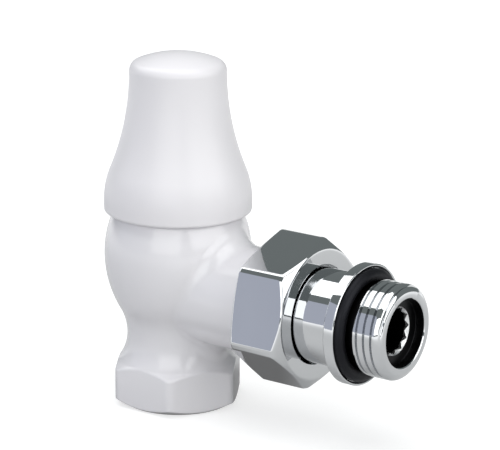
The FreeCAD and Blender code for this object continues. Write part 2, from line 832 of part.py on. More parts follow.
def build_union_nut():
    """Chromed union nut: round-cornered hexagon, flat front and an inner shoulder."""
    nut = outlet_body("union_nut")
    blank = S.nut_across / (2 * HALF_FLAT) + S.end_gap
    thread = S.union_thread_radius + S.screwed_clearance
    hole = S.tail_neck_radius + S.neck_gap
    turned(nut, "nut_turning", [
        (thread + S.nut_thread_chamfer, H.nut_back),
        (S.nut_chamfer_radius, H.nut_back),
        (blank, H.nut_back + S.nut_back_chamfer),
        (blank, S.nut_face - S.nut_chamfer),
        (S.nut_chamfer_radius, S.nut_face),
        (hole, S.nut_face),
        (hole, H.nut_shoulder),
        (thread, H.nut_shoulder),
        (thread, H.nut_back + S.nut_thread_chamfer),
    ])
    outline = rounded_hexagon(S.nut_across, -SIZES["nut_twist"], S.nut_corner_round)
    cut_flats(nut, "nut_hexagon", outline, H.nut_back, S.nut_length, blank + S.end_gap)
    return [nut]


def build_tailpiece():
    """Tailpiece with its key socket, the rings that seal it and the one that holds the nut."""
    tail = outlet_body("tailpiece")
    spigot = S.socket_radius - S.running_clearance
    spigot_root = spigot - S.spigot_ring_depth
    spigot_base = S.union_face - S.spigot_length
    ring_start = spigot_base + S.spigot_ring_offset
    ring_end = ring_start + S.spigot_ring_depth + 2 * S.ring_side_room
    snap_root = S.tail_neck_radius - S.snap_ring_depth
    snap_front = H.nut_shoulder - S.snap_ring_gap
    snap_back = snap_front - S.snap_ring_thickness
    flange_back = S.union_face + S.neck_length
    recess_floor = flange_back + S.flange_web
    flange_front = recess_floor + S.ring_recess
    recess = S.tail_relief_radius + S.tail_ring_section + 2 * S.running_clearance
    flange = recess + S.flange_rim
    thread_start = flange_front + S.tail_relief_length
    tail_end = thread_start + S.tail_thread_length
    key_start = tail_end - S.key_depth
    key_end = key_start - S.key_length
    key_hole = S.key_across / 2
    lead_radius = S.key_across / (2 * HALF_FLAT) + S.key_lead_room
    turned(tail, "tail_turning", [
        (S.tail_bore, spigot_base),
        (spigot, spigot_base),
        (spigot, ring_start),
        (spigot_root, ring_start),
        (spigot_root, ring_end),
        (spigot, ring_end),
        (spigot, S.union_face + S.seating_clearance),
        (S.tail_neck_radius, S.union_face + S.seating_clearance),
        (S.tail_neck_radius, snap_back - S.seating_clearance),
        (snap_root, snap_back - S.seating_clearance),
        (snap_root, snap_front + S.seating_clearance),
        (S.tail_neck_radius, snap_front + S.seating_clearance),
        (S.tail_neck_radius, flange_back),
        (flange - S.flange_chamfer, flange_back),
        (flange, flange_back + S.flange_chamfer),
        (flange, flange_front - S.flange_chamfer),
        (flange - S.flange_chamfer, flange_front),
        (recess, flange_front),
        (recess, recess_floor),
        (S.tail_relief_radius, recess_floor),
        (S.tail_relief_radius, thread_start - S.tail_thread_chamfer),
        (S.tail_thread_radius, thread_start),
        (S.tail_thread_radius, tail_end - S.tail_thread_chamfer),
        (S.tail_end_radius, tail_end),
        (S.mouth_radius + S.mouth_chamfer, tail_end),
        (S.mouth_radius, tail_end - S.mouth_chamfer),
        (S.mouth_radius, tail_end - S.mouth_depth),
        (lead_radius, key_start),
        (key_hole, key_start - S.key_lead),
        (key_hole, key_end),
        (S.tail_bore, key_end),
    ])
    for k, twist in enumerate((0.0, HEX_TURN / 2)):
        star = new_sketch(tail, f"key_outline_{k}", "XY_Plane", key_end)
        draw_outline(star, hexagon(S.key_across, twist))
        cut(tail, f"key_socket_{k}", star, S.key_length, reverse=True)
    seal = ring_seal("tailpiece_o_ring",
                     S.tail_relief_radius + S.tail_ring_section / 2 + S.running_clearance,
                     S.tail_ring_section, recess_floor + S.tail_ring_section / 2, on_outlet=True)
    spigot_ring = ring_seal("union_o_ring", spigot_root + S.spigot_ring_depth / 2,
                            S.spigot_ring_depth, (ring_start + ring_end) / 2, on_outlet=True)
    snap = outlet_body("union_snap_ring")
    turned(snap, "snap_ring_turning",
           tube(snap_root + S.running_clearance, S.tail_neck_radius + S.snap_ring_reach,
                snap_back, snap_front),
           sweep=S.snap_ring_angle)
    return [tail, seal, spigot_ring, snap]


pieces = [
    build_valve_body(),
    *build_bonnet(),
    *build_gland(),
    *build_spindle(),
    *build_plug(),
    *build_handwheel(),
    *build_union_nut(),
    *build_tailpiece(),
]
doc.recompute()

for item in doc.Objects:
    if "Invalid" in item.State or "Error" in item.State:
        raise RuntimeError(f"{item.Name} failed: {item.State}")
for piece in pieces:
    if piece.Shape.isNull() or not piece.Shape.isValid():
        raise RuntimeError(f"{piece.Label} has no valid shape")
    if len(piece.Shape.Solids) != 1:
        raise RuntimeError(f"{piece.Label} is {len(piece.Shape.Solids)} solids")

os.makedirs("parts", exist_ok=True)
for piece in pieces:
    piece.Shape.exportStep(f"parts/{piece.Label}.step")
    print(f"{piece.Label}: {piece.Shape.Volume:.1f} mm3")
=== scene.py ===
import bmesh
import bpy
import json
import math
import numpy as np
from mathutils import Matrix, Vector


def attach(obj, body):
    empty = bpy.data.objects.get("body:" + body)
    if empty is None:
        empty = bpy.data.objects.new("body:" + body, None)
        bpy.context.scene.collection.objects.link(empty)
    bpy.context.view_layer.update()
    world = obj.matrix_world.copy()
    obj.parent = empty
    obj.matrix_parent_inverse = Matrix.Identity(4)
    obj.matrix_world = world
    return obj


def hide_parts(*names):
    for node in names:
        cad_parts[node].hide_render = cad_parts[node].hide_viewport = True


# Looks of the angle pattern radiator valve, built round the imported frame.
# Shapes are worked out in millimetres in the frame's own axes and stored in metres.
# A profile is a list of (radius, place on the axis), and a third value rounds its corner.

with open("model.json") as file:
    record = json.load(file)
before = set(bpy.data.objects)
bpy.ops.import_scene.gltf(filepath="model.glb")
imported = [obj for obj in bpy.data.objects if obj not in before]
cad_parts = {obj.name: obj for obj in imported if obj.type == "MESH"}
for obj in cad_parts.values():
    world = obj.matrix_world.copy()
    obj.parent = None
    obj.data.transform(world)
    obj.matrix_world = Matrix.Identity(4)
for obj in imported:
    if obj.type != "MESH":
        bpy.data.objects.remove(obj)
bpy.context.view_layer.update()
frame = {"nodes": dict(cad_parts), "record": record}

MM = 0.001
TURN = 2 * math.pi
NEAR_AXIS = 0.01
SAME = 1e-6
WELD = 1e-7

# Pipe thread: the shares of half a pitch are its crest's and its flank's
PIPE_PITCH, PIPE_DEPTH, CREST_SHARE, FLANK_SHARE = 1.814, 1.16, 0.58, 0.38

# Handwheel
WHEEL_BASE, BELL_START, WHEEL_TOP, BELL_SHARE = 44.2, 46.8, 79.9, 0.24
WHEEL_GAP, WHEEL_WALL, WHEEL_LIP, WHEEL_BEVEL = 0.42, 1.7, 0.7, 0.15
CROWN_R, CROWN_ROUND, CROWN_DOME, CEILING = 10.8, 2.4, 25.0, 76.2
HUB_R, HUB_BASE, HUB_BORE, HUB_BORE_TOP = 6.2, 61.52, 3.92, 74.2
RIB_COUNT, RIB_HALF, RIB_IN, RIB_OUT, RIB_BASE = 6, 0.6, 5.06, 10.3, 65.0

# Forged body: hexagon, then (radius, height) of the turned form and of the hollow in it
HEX_HALF, HEX_ROUND, HEX_BLANK, HEX_SHOULDER = 13.35, 2.2, 15.715, 8.1
BASE_R, BASE_CHAMFER, BELLY_SHARE = 12.4, 1.9, 0.33
FOOT, WAIST, BELLY, RIM = (13.3, 9.8), (11.45, 15.7), (16.46, 34.5), (13.2, 46.5)
BONNET_END, CHAMBER_TOP, CHAMBER_LOW = (11.0, 38.0), (12.2, 36.8), (12.2, 24.0)
CHAMBER_FLOOR, SEAT, WATERWAY = (10.0, 20.4), (7.1, 21.7), (6.0, 15.0)
# Reach of the roundings before and after the lower and the upper edge of the flats,
# and the height above which the rows of points run level
LOW_EDGE, HIGH_EDGE, LEVEL_Z = (0.14, 0.25), (0.4, 0.3), 11.5

# Inlet thread: the groove takes away a share of the ridge
INLET_R, INLET_DEPTH, INLET_RIDGE, INLET_GROOVE = 10.48, 11.0, 0.9, 0.95
INLET_LEAD, INLET_RUNOUT = 0.9, 1.5

# Outlet branch, its blend and the union's end
AXIS_Z, BRANCH_R, BRANCH_EDGE = 27.0, 11.8, 0.3
FILLET_LOW, FILLET_HIGH, FILLET_SINK, FILLET_RANGE = 3.0, 5.5, 0.05, (6.0, 34.0)
UNION_R, UNION_START, UNION_FACE, UNION_BEVEL = 13.2, 26.6, 34.5, 0.9
SOCKET_R, SOCKET_FLOOR, OUTLET_R, OUTLET_START = 9.6, 31.5, 6.3, 11.0

# Union nut, turned by its twist from an upright corner
NUT_HALF, NUT_CORNER, NUT_ROUND, NUT_TWIST = 14.85, 16.73, 1.3, 10.7
NUT_BACK, NUT_FACE, NUT_CHAMFER_R, NUT_BLANK = 25.8, 38.8, 14.5, 17.448
NUT_BACK_CUT, NUT_FRONT_CUT, NUT_BORE, NUT_FACE_ROW = 0.5, 1.65, 11.0, 13.0
NUT_MOUTH, NUT_THREAD_R, NUT_THREAD_END, NUT_RIDGE = 13.95, 13.25, 36.8, 0.9
NUT_LEAD, NUT_RUNOUT = 0.9, 1.2
# Reach of the roundings before and after each edge, and of the rows that hold the bore's
BACK_EDGE, FRONT_EDGE, FACE_EDGE = (0.2, 0.4), (0.8, 0.6), (0.4, 0.5)
BORE_EDGE, BORE_HOLD = (0.2, 0.2), (0.25, 0.3)
FLAT_SHARES = (0.01, 0.1, 0.22, 0.36, 0.5, 0.64, 0.78, 0.9, 0.99)

# Tailpiece: spigot with its seal's groove, neck with the snap ring's groove, flange
TAIL_START, TAIL_END, TAIL_BORE = 31.8, 60.8, 6.0
SPIGOT_R, SPIGOT_END, SEAL_FLOOR, SEAL_FROM, SEAL_TO = 9.55, 34.52, 8.05, 32.3, 34.2
NECK_R, SNAP_FLOOR, SNAP_FROM, SNAP_TO = 10.5, 9.4, 35.28, 36.72
FLANGE_R, FLANGE_BACK, FLANGE_FACE = 13.3, 48.4, 50.98
BACK_BEVEL, FACE_BEVEL, LIP_R, LIP_BEVEL = 0.25, 0.18, 12.9, 0.38
RECESS_R, RECESS_FLOOR, RELIEF_R = 12.45, 49.35, 9.35
# Tailpiece: thread, whose columns and groove are shares of the pitch
THREAD_START, HELIX_START, TAIL_CREST, TAIL_GROOVE = 53.4, 54.6, 10.4775, 1.0
HELIX_COLUMNS = (-0.17, -0.16, -0.1, -0.02, 0.02, 0.1, 0.16, 0.17, 0.33, 0.5, 0.67)
GROOVE_HALF, GROOVE_FLANK, THREAD_RISE, THREAD_SOFT = 0.16, 0.14, 1.65, 0.2
# Tailpiece: (radius at the end, rise per millimetre) of its two bevels, mouth and key socket
END_STEEP, END_SHALLOW, END_FACE_R = (9.05, 1.6), (9.6, 0.7), 8.95
MOUTH_R, MOUTH_BEVEL, MOUTH_END = 7.45, 0.27, 58.5
KEY_FACE, KEY_END, KEY_HALF, KEY_LEAD_R, KEY_LEAD_SLOPE = 58.3, 54.3, 4.6, 5.41, 0.81
# O-ring on the tailpiece
RING_MEAN, RING_HALF, RING_X = 10.9, 1.5, 50.85

# Where the chrome gets painted shade (near black) or a painted highlight (near white): (radius, first,
# last) on the outlet's line
LEAD_ZONE, RELIEF_ZONE, BORE_ZONE_R = (5.36, 57.25, 58.34), (9.7, 49.2, 53.6), 7.53
# How far bare brass reaches past the union's start and radius, the inlet's radius and its cone
UNION_PAST, UNION_OVER, INLET_OVER, CONE_PAST = 0.1, 0.2, 0.1, 0.2

# Studio in metres; a fade is (near, far, value near, value far) over the distance on the floor
FLOOR_R, FLOOR_DROP, FLOOR_CORNERS, FLOOR_TONE = 2.5, 0.00005, 64, 0.5
FADE_SEEN, FADE_MIRRORED = (0.08, 0.3, 0.62, 0.82), (0.08, 0.4, 0.16, 0.8)
# The next fade is a painted shadow: it takes colour off the floor beneath the valve, for reflected rays
# only
FADE_PAINTED_SHADOW = (0.022, 0.036, 0.45, 0.0)
WORLD_TONE, CARD_TONE = (0.19, 0.212, 0.212), (0.51, 0.54, 0.63)
MIDDLE = (0.02, 0.0, 0.04)

# Camera: angles in degrees, places in metres, film and lens in millimetres
AZIMUTH, ELEVATION, ROLL, CAMERA_FAR = 35.91, 15.67, 0.41, 0.6
AIM_HEIGHT, AIM_RIGHT, AIM_UP = 0.038, 0.01606, 0.00255
SENSOR, LENS, CLIP = 36.0, 193.17, (0.01, 20.0)


def add_object(name, data):
    thing = bpy.data.objects.new(name, data)
    bpy.context.scene.collection.objects.link(thing)
    return thing


class Shape:
    """Collects grids of points into one mesh."""

    def __init__(self):
        self.points = []
        self.faces = []
        self.count = 0

    def grid(self, rows, closed=True):
        """rows: array (along, across, 3); closed joins the last column to the first."""
        rows = np.asarray(rows, float)
        along, across = rows.shape[:2]
        index = self.count + np.arange(along * across).reshape(along, across)
        if closed:
            a, b = index, np.roll(index, -1, axis=1)
        else:
            a, b = index[:, :-1], index[:, 1:]
        quads = np.stack([a[:-1], b[:-1], b[1:], a[1:]], axis=-1).reshape(-1, 4)
        self.points.append(rows.reshape(-1, 3))
        self.faces.append(quads)
        self.count += along * across

    def build(self, name, sharp):
        """The object, smooth but for the edges that bend by more than sharp degrees."""
        points = np.concatenate(self.points) * MM
        faces = np.concatenate(self.faces)
        mesh = bpy.data.meshes.new(name)
        mesh.from_pydata(points.tolist(), [], faces.tolist())
        work = bmesh.new()
        work.from_mesh(mesh)
        bmesh.ops.remove_doubles(work, verts=work.verts, dist=WELD)
        bmesh.ops.dissolve_degenerate(work, edges=work.edges, dist=WELD)
        work.to_mesh(mesh)
        work.free()
        mesh.polygons.foreach_set("use_smooth", [True] * len(mesh.polygons))
        mesh.set_sharp_from_angle(angle=math.radians(sharp))
        mesh.update()
        thing = add_object(name, mesh)
        even = thing.modifiers.new("even_normals", "WEIGHTED_NORMAL")
        even.mode = "FACE_AREA"
        even.keep_sharp = True
        return thing


def around(count):
    return np.arange(count) * TURN / count


def lathe_z(profile, count):
    """Rows of points of a profile turned about the spindle's line."""
    t = around(count)
    p = np.asarray(profile, float)
    r, z = p[:, 0:1], p[:, 1:2]
    return np.stack([r * np.cos(t), r * np.sin(t), z + 0 * t], axis=-1)


def on_outlet(r, x, t):
    """Points at radius r and place x on the outlet's line, t turning from +Z towards -Y."""
    r, x, t = np.broadcast_arrays(r, x, t)
    return np.stack([x, -r * np.sin(t), AXIS_Z + r * np.cos(t)], axis=-1)


def lathe_x(profile, count):
    """Rows of points of a profile turned about the outlet's line."""
    p = np.asarray(profile, float)
    return on_outlet(p[:, 0:1], p[:, 1:2], around(count))


def soften(corners, steps):
    """A polyline through the corners, with an arc in place of each that has a radius."""
    nearly_straight, side_share = math.radians(88), 0.49
    out = []
    for i, corner in enumerate(corners):
        here = np.array(corner[:2], float)
        if len(corner) < 3:
            out.append(here)
            continue
        back = np.array(corners[i - 1][:2], float) - here
        on = np.array(corners[i + 1][:2], float) - here
        back_len, on_len = np.linalg.norm(back), np.linalg.norm(on)
        back, on = back / back_len, on / on_len
        half = math.acos(max(-1.0, min(1.0, float(back @ on)))) / 2
        if half > nearly_straight:
            out.append(here)
            continue
        reach = min(corner[2] / math.tan(half), side_share * back_len, side_share * on_len)
        radius = reach * math.tan(half)
        middle = here + (back + on) / np.linalg.norm(back + on) * radius / math.sin(half)
        first, last = here + back * reach - middle, here + on * reach - middle
        sweep = math.pi - 2 * half
        for f in np.arange(steps + 1) / steps:
            swung = first * math.sin((1 - f) * sweep) + last * math.sin(f * sweep)
            out.append(middle + swung / math.sin(sweep))
    return out


def arc_from(start, end, radius, turn, steps):
    """Points of the shorter arc between two points; turn +1 is counter-clockwise."""
    start, end = np.array(start, float), np.array(end, float)
    chord = end - start
    half = np.linalg.norm(chord) / 2
    left = np.array([-chord[1], chord[0]]) / (2 * half)
    centre = (start + end) / 2 + left * turn * math.sqrt(max(radius ** 2 - half ** 2, 0.0))
    a0 = math.atan2(*(start - centre)[::-1])
    a1 = math.atan2(*(end - centre)[::-1])
    if turn > 0 and a1 < a0:
        a1 += TURN
    if turn < 0 and a1 > a0:
        a1 -= TURN
    a = np.linspace(a0, a1, steps + 1)
    return [centre + radius * np.array([math.cos(v), math.sin(v)]) for v in a]


def bend(sideways, along):
    """Radius of an arc that starts straight along and ends that far sideways."""
    return (sideways ** 2 + along ** 2) / (2 * sideways)


def s_curve(low, high, share, turn, steps):
    """Two arcs, upright at both ends, from low to high."""
    across, along = abs(high[0] - low[0]), high[1] - low[1]
    both = bend(across, along)
    middle = (low[0] + (high[0] - low[0]) * share, low[1] + along * share)
    first = arc_from(low, middle, both * share, turn, steps)
    second = arc_from(middle, high, both * (1 - share), -turn, steps)
    return first + second[1:]


def curve_over(first, corner, last, steps):
    """Rows of a soft curve in place of a corner; each point is a pair of numbers or arrays."""
    rows = []
    for f in np.linspace(0, 1, steps):
        shares = ((1 - f) ** 2, 2 * f * (1 - f), f * f)
        rows.append([sum(s * p[k] for s, p in zip(shares, (first, corner, last))) for k in (0, 1)])
    return rows


def full_rows(rows, like):
    """The first and the second values of the rows, each row filled up to the length of like."""
    return [np.array([row[k] + 0 * like for row in rows]) for k in (0, 1)]


def smooth_min(a, b, k):
    """The lesser of two values, rounded off where they differ by less than k."""
    h = np.maximum(k - np.abs(a - b), 0.0) / k
    return np.minimum(a, b) - h * h * k / 4


def groove_share(x, t):
    """0 on the broad crests of a right-hand thread and 1 in its grooves; t turns right-handed about x."""
    phase = (x / PIPE_PITCH - t / TURN) % 1.0
    return np.clip((np.abs(2 * phase - 1) - CREST_SHARE) / FLANK_SHARE, 0.0, 1.0)


def take_over(thing, node, body, slot):
    """The thing stands for a node of the frame, moves with its body and wears its finish."""
    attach(thing, body)
    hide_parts(node)
    paint(thing, slot)


# Handwheel

def add_rib(shape, angle):
    """An upright rib between the hub and the wall."""
    along = np.array([math.cos(angle), math.sin(angle), 0.0])
    across = np.array([-math.sin(angle), math.cos(angle), 0.0])
    corners = ((RIB_IN, RIB_BASE), (RIB_OUT, RIB_BASE), (RIB_OUT, CEILING), (RIB_IN, CEILING))
    box = []
    for side in (-RIB_HALF, RIB_HALF):
        box.append([r * along + side * across + (0.0, 0.0, z) for r, z in corners])
    box = np.array(box)
    shape.grid(box[::-1])
    shape.grid(box[0][[[0, 1], [3, 2]]], closed=False)
    shape.grid(box[1][[[1, 0], [2, 3]]], closed=False)


def make_handwheel():
    shape = Shape()
    shoulder = bend(BELLY[0] - RIM[0], RIM[1] - BELLY[1])
    fall = shoulder - math.sqrt(shoulder ** 2 - (WHEEL_BASE - BELLY[1]) ** 2)
    inner = BELLY[0] - fall + WHEEL_GAP
    outer = inner + WHEEL_WALL
    # The crown's rounding runs tangent into the dome
    middle = CROWN_R - CROWN_ROUND
    rise = math.sqrt((CROWN_DOME - CROWN_ROUND) ** 2 - middle ** 2)
    stretch = CROWN_DOME / (CROWN_DOME - CROWN_ROUND)
    side_end = (CROWN_R, WHEEL_TOP - CROWN_DOME + rise)
    dome_edge = (middle * stretch, WHEEL_TOP - CROWN_DOME + rise * stretch)
    out = arc_from((outer - WHEEL_LIP, WHEEL_BASE), (outer, WHEEL_BASE + WHEEL_LIP), WHEEL_LIP, 1, 8)
    out += s_curve((outer, BELL_START), side_end, BELL_SHARE, 1, 30)
    out += arc_from(side_end, dome_edge, CROWN_ROUND, 1, 18)[1:]
    out += arc_from(dome_edge, (NEAR_AXIS, WHEEL_TOP), CROWN_DOME, 1, 16)[1:]
    back = [(NEAR_AXIS, HUB_BORE_TOP), (HUB_BORE, HUB_BORE_TOP), (HUB_BORE, HUB_BASE)]
    back += [(HUB_R, HUB_BASE), (HUB_R, CEILING)]
    back += s_curve((inner, BELL_START), (CROWN_R - WHEEL_WALL, CEILING), BELL_SHARE, 1, 14)[::-1]
    back += [(inner, WHEEL_BASE + WHEEL_BEVEL), (inner + WHEEL_BEVEL, WHEEL_BASE)]
    shape.grid(lathe_z(out, count=256))
    shape.grid(lathe_z(back, count=128))
    shape.grid(lathe_z([back[-1], out[0]], count=256))
    for angle in around(RIB_COUNT):
        add_rib(shape, angle)
    take_over(shape.build("handwheel_look", sharp=38), "handwheel", "handwheel", "white_plastic")


# Forged body

def body_profile():
    """Profile of the forging before its flats are cut, as a dense polyline from the base up."""
    foot_bend = bend(FOOT[0] - WAIST[0], WAIST[1] - FOOT[1])
    shoulder = bend(BELLY[0] - RIM[0], RIM[1] - BELLY[1])
    low = [(BASE_R, 0.0), (HEX_BLANK, BASE_CHAMFER), (HEX_BLANK, HEX_SHOULDER), FOOT]
    line = []
    for (r0, z0), (r1, z1) in zip(low, low[1:]):
        line += [(r0 + (r1 - r0) * f, z0 + (z1 - z0) * f) for f in np.linspace(0, 1, 30)[:-1]]
    line += arc_from(FOOT, WAIST, foot_bend, -1, 60)
    line += s_curve(WAIST, BELLY, BELLY_SHARE, -1, 120)[1:]
    line += arc_from(BELLY, RIM, shoulder, 1, 90)[1:]
    return np.array(line)


def branch_blend(profile, count):
    """Contact places of a ball that rolls between the forging and the branch and grows upwards."""
    t = around(count)
    ball = FILLET_LOW + (FILLET_HIGH - FILLET_LOW) * (0.5 + 0.5 * np.cos(t)) ** 2
    reach = BRANCH_R + ball
    y, z = -reach * np.sin(t), AXIS_Z + reach * np.cos(t)
    low, high = (np.full(count, x) for x in FILLET_RANGE)

    def nearest(x):
        rho = np.hypot(x, y)
        d = np.hypot(rho[:, None] - profile[None, :, 0], z[:, None] - profile[None, :, 1])
        outside = rho > np.interp(z, profile[:, 1], profile[:, 0])
        return d.argmin(axis=1), np.where(outside, d.min(axis=1), 0.0)

    halvings = 34
    for _ in range(halvings):
        mid = (low + high) / 2
        far = nearest(mid)[1] > ball
        high = np.where(far, mid, high)
        low = np.where(far, low, mid)
    x = (low + high) / 2
    touch = profile[nearest(x)[0]]
    rho = np.hypot(x, y)
    centre = np.stack([x, y, z], axis=-1)
    on_body = np.stack([touch[:, 0] * x / rho, touch[:, 0] * y / rho, touch[:, 1]], axis=-1)
    return t, ball[:, None], centre, on_body, on_outlet(BRANCH_R, x, t)


def hexagon_radius(t):
    """Radius of the round-cornered hexagon at an angle; its corners lie at whole sixths from +X."""
    slant = math.cos(TURN / 12)
    corner = (HEX_HALF - HEX_ROUND) / slant
    off = np.abs((t + TURN / 12) % (TURN / 6) - TURN / 12)
    edge = math.atan2(HEX_ROUND / 2, corner + HEX_ROUND * slant)
    inside = np.sqrt(np.maximum(HEX_ROUND ** 2 - (corner * np.sin(off)) ** 2, 0.0))
    return np.where(off < edge, corner * np.cos(off) + inside, HEX_HALF / np.cos(TURN / 12 - off))


def add_forging(shape, profile):
    """The outside of the body, with the hexagon's flats cut from the turned form."""
    t = around(360)
    flat = hexagon_radius(t)
    upper = profile[profile[:, 1] >= HEX_SHOULDER - SAME]
    # Where the flats meet the base chamfer and the shoulder, at each angle
    low = BASE_CHAMFER * (flat - BASE_R) / (HEX_BLANK - BASE_R)
    high = FOOT[1] - (FOOT[1] - HEX_SHOULDER) * (flat - FOOT[0]) / (HEX_BLANK - FOOT[0])

    def chamfer(z):
        return BASE_R + z * (HEX_BLANK - BASE_R) / BASE_CHAMFER, z

    def above(z):
        return np.interp(z, upper[:, 1], upper[:, 0]), z

    flat_low, flat_high, start = low + LOW_EDGE[1], high - HIGH_EDGE[0], high + HIGH_EDGE[1]
    rows = [chamfer(low * f) for f in (0.0, 0.3, 0.6)]
    rows += curve_over(chamfer(low - LOW_EDGE[0]), (flat, low), (flat, flat_low), 7)
    rows += [(flat, flat_low + (flat_high - flat_low) * f) for f in (0.02, 0.2, 0.4, 0.6, 0.8, 0.98)]
    rows += curve_over((flat, flat_high), (flat, high), above(start), 9)
    rows += [above(start + (LEVEL_Z - start) * f) for f in np.linspace(0, 1, 14)[1:]]
    rows += [above(z) for z in np.linspace(LEVEL_Z, RIM[1], 110)[1:]]
    r, z = full_rows(rows, t)
    shape.grid(np.stack([r * np.cos(t), r * np.sin(t), z], axis=-1))


def add_hollow(shape):
    """Top rim, bonnet's bore, chamber, seat and the waterway down to the inlet."""
    inside = [RIM, (BONNET_END[0], RIM[1]), BONNET_END, CHAMBER_TOP, CHAMBER_LOW, CHAMBER_FLOOR]
    inside += [(SEAT[0], CHAMBER_FLOOR[1]), SEAT, (WATERWAY[0], SEAT[1]), WATERWAY]
    shape.grid(lathe_z(inside, count=96))


def add_inlet(shape):
    """Thread, cone and the ring round the mouth."""
    z = np.linspace(0, INLET_DEPTH, 150)[:, None]
    t = around(180)
    fade = np.clip(np.minimum(z / INLET_LEAD, (INLET_DEPTH - z) / INLET_RUNOUT), 0, 1)
    r = INLET_R - INLET_RIDGE * fade * (1 - INLET_GROOVE * groove_share(z, t))
    shape.grid(np.stack([r * np.cos(t), r * np.sin(t), z + 0 * t], axis=-1)[::-1])
    shape.grid(lathe_z([WATERWAY, (INLET_R, INLET_DEPTH)], count=180))
    shape.grid(lathe_z([(INLET_R, 0.0), (BASE_R, 0.0)], count=180))


def add_branch(shape, profile):
    """The blend, whose first row is sunk in the forging, and the branch up to the union."""
    t, ball, centre, on_body, on_branch = branch_blend(profile, 240)
    u, v = on_body - centre, on_branch - centre
    u /= np.linalg.norm(u, axis=1, keepdims=True)
    v /= np.linalg.norm(v, axis=1, keepdims=True)
    sweep = np.arccos(np.clip((u * v).sum(axis=1), -1, 1))[:, None]
    rows = []
    for f in np.linspace(-0.02, 1, 19)[1:]:
        w = (u * np.sin((1 - f) * sweep) + v * np.sin(f * sweep)) / np.sin(sweep)
        rows.append(centre + w * ball)
    outward = on_body * (1, 1, 0)
    outward /= np.linalg.norm(outward, axis=1, keepdims=True)
    rows.insert(0, rows[0] - FILLET_SINK * outward)
    rows += [on_outlet(BRANCH_R, x, t) for x in (UNION_START - BRANCH_EDGE, UNION_START)]
    shape.grid(np.array(rows)[:, ::-1])


def add_union(shape):
    """The union's thread, and the tailpiece's socket and the waterway behind it."""
    x = np.linspace(UNION_START, UNION_FACE, 150)[:, None]
    t = around(240)
    crest = UNION_R - PIPE_DEPTH * groove_share(x, t)
    ends = np.minimum(BRANCH_R + (x - UNION_START), UNION_R - UNION_BEVEL + (UNION_FACE - x))
    shape.grid(on_outlet(np.minimum(crest, np.maximum(ends, BRANCH_R)), x, t)[:, ::-1])
    socket = [(UNION_R - UNION_BEVEL, UNION_FACE), (SOCKET_R, UNION_FACE), (SOCKET_R, SOCKET_FLOOR)]
    socket += [(OUTLET_R, SOCKET_FLOOR), (OUTLET_R, OUTLET_START)]
    shape.grid(lathe_x(socket, count=120)[:, ::-1])


def make_body():
    shape = Shape()
    profile = body_profile()
    add_forging(shape, profile)
    add_hollow(shape)
    add_inlet(shape)
    add_branch(shape, profile)
    add_union(shape)
    take_over(shape.build("valve_body_look", sharp=42), "valve_body", "valve", "white_enamel")


# Union nut

def nut_corner(angle):
    """Outline round one corner of the nut: two roundings with a narrow flat between them."""
    up = NUT_CORNER - NUT_ROUND
    half_flat = 2 * (NUT_HALF - NUT_ROUND - up * math.cos(TURN / 12))
    points = []
    for side in (-1, 1):
        x = up * math.cos(angle) - side * half_flat * math.sin(angle)
        y = up * math.sin(angle) + side * half_flat * math.cos(angle)
        start = angle + (side - 1) * TURN / 24
        for b in np.linspace(start, start + TURN / 12, 11):
            points.append((x + NUT_ROUND * math.cos(b), y + NUT_ROUND * math.sin(b)))
    return points


def nut_sides():
    """Angle and radius of the points round the nut: its corners and the flats between them."""
    corners = [nut_corner(math.radians(60 * k - NUT_TWIST)) for k in range(6)]
    outline = []
    for corner, following in zip(corners, corners[1:] + corners[:1]):
        start, end = np.array(corner[-1]), np.array(following[0])
        outline += corner + [tuple(start + (end - start) * f) for f in FLAT_SHARES]
    u, v = np.array(outline).T
    return np.arctan2(v, u), np.hypot(u, v)


def add_nut_outside(shape):
    """Back, flats, chamfer and face of the nut, and its bore up to the thread."""
    t, side = nut_sides()

    def cut(r, length):
        return length * (r - NUT_CHAMFER_R) / (NUT_BLANK - NUT_CHAMFER_R)

    def front_cut(r):
        return r, NUT_FACE - cut(r, NUT_FRONT_CUT)

    back_x, front_x = NUT_BACK + cut(side, NUT_BACK_CUT), front_cut(side)[1]
    flat_back, flat_front = back_x + BACK_EDGE[1], front_x - FRONT_EDGE[0]
    half_r = (side + NUT_CHAMFER_R) / 2
    first = front_cut(np.maximum(half_r, side - FRONT_EDGE[1]))
    last = front_cut(np.minimum(half_r, NUT_CHAMFER_R + FACE_EDGE[0]))
    on_back, on_face = (NUT_CHAMFER_R - BACK_EDGE[0], NUT_BACK), (NUT_CHAMFER_R - FACE_EDGE[1], NUT_FACE)
    bore_face, bore_side = (NUT_BORE + BORE_EDGE[0], NUT_FACE), (NUT_BORE, NUT_FACE - BORE_EDGE[1])
    rows = [(NUT_MOUTH, NUT_BACK)]
    rows += curve_over(on_back, (side, back_x), (side, flat_back), 8)
    rows += [(side, flat_back + (flat_front - flat_back) * f) for f in (0.02, 0.25, 0.5, 0.75, 0.98)]
    rows += curve_over((side, flat_front), (side, front_x), first, 9)
    rows += curve_over(last, (NUT_CHAMFER_R, NUT_FACE), on_face, 8)
    rows += [(NUT_FACE_ROW, NUT_FACE), (NUT_BORE + BORE_HOLD[0], NUT_FACE)]
    rows += curve_over(bore_face, (NUT_BORE, NUT_FACE), bore_side, 5)
    rows += [(NUT_BORE, NUT_FACE - BORE_HOLD[1]), (NUT_BORE, NUT_THREAD_END)]
    r, x = full_rows(rows, side)
    shape.grid(on_outlet(r, x, t)[:, ::-1])


